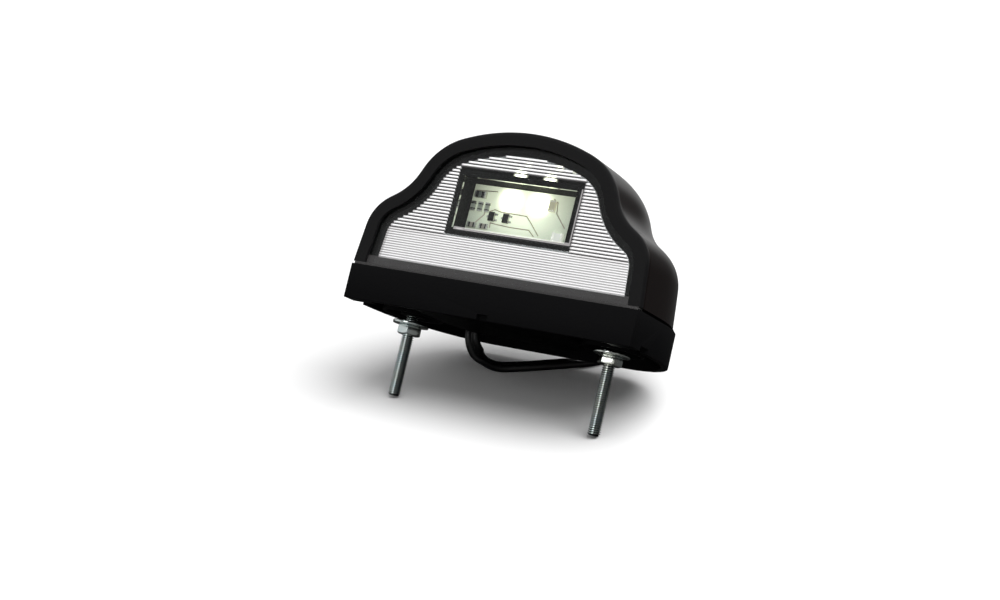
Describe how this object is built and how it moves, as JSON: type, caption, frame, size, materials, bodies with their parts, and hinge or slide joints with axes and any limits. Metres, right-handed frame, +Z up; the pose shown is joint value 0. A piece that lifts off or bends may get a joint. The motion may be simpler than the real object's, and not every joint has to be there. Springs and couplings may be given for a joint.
{
  "type": "number plate lamp",
  "caption": "Bell-hooded number plate lamp with a clear ribbed lens, a lit window, threaded fixing studs and a flat twin lead.",
  "frame": {"origin": "middle of the line between the two studs, on the flat land of the underside", "axes": "+X to the lamp's left seen from behind (right in the picture), +Y from the window to the back, +Z up from the seating face to the crown"},
  "size_m": [0.103, 0.1264, 0.0887],
  "materials": {
    "base_plastic": "fine-textured black moulding",
    "hood_plastic": "glossy black moulding",
    "clear_plastic": "clear moulding with ribs on its inner side",
    "seal_rubber": "soft black cord seal",
    "inner_plastic": "satin black moulding",
    "reflector_foil": "bright satin",
    "board_laminate": "pale solder resist",
    "led_housing": "white ceramic look",
    "led_glow": "bright pale yellow",
    "chip_dark": "dark with bright ends",
    "chip_tan": "tan with bright ends",
    "chip_white": "white with bright ends",
    "wire_red_pvc": "smooth",
    "wire_black_pvc": "smooth",
    "gland_rubber": "matte",
    "lead_pvc": "satin black",
    "zinc_steel": "bright zinc plating"
  },
  "bodies": {
    "root": {"base": "base_plastic", "hood": "hood_plastic", "lens": "clear_plastic", "seal": "seal_rubber", "inner_body": "inner_plastic", "reflector": "reflector_foil", "circuit_board": "board_laminate", "led_left": "led_housing", "led_right": "led_housing", "emitter_left": "led_glow", "emitter_right": "led_glow", "resistor_1": "chip_dark", "resistor_2": "chip_dark", "resistor_3": "chip_dark", "resistor_4": "chip_dark", "resistor_5": "chip_dark", "regulator_1": "chip_dark", "regulator_2": "chip_dark", "diode": "chip_dark", "capacitor": "chip_tan", "fuse": "chip_white", "wire_red": "wire_red_pvc", "wire_black": "wire_black_pvc", "gland": "gland_rubber", "lead": "lead_pvc", "lead_coil": "lead_pvc", "lead_end": "lead_pvc", "stud_left": "zinc_steel", "stud_right": "zinc_steel", "washer_left": "zinc_steel", "washer_right": "zinc_steel", "nut_left": "zinc_steel", "nut_right": "zinc_steel"}
  },
  "joints": []
}
